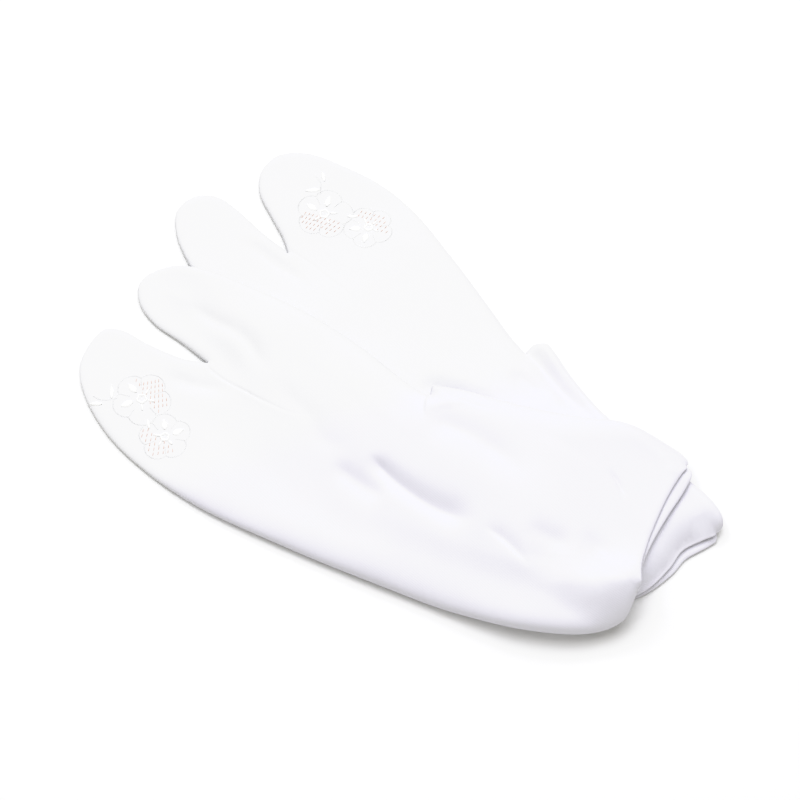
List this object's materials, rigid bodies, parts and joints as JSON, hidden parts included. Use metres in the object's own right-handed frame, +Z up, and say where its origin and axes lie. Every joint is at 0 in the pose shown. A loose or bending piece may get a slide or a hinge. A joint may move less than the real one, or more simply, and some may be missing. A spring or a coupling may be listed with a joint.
{
  "type": "pair of tabi socks",
  "caption": "Split-toe tabi socks in white stretch cloth lying flat, the left one laid across the right one, ankle cuffs open, round blossom embroidery near the toes",
  "frame": {"origin": "centre of the pair's bounding box, on the surface that the socks lie on", "axes": "+Z up; +X runs from the toes' side to the cuffs' side along the pair's longest extent; +Y runs from the heel's side to the far toes"},
  "size_m": [0.249, 0.2164, 0.0236],
  "materials": {
    "white_stretch_cloth": "smooth brushed stretch jersey",
    "white_satin_thread": "satin embroidery thread",
    "salmon_thread": "matt embroidery thread"
  },
  "bodies": {
    "root": {"sock_left": "white_stretch_cloth", "sock_right": "white_stretch_cloth"}
  },
  "joints": []
}
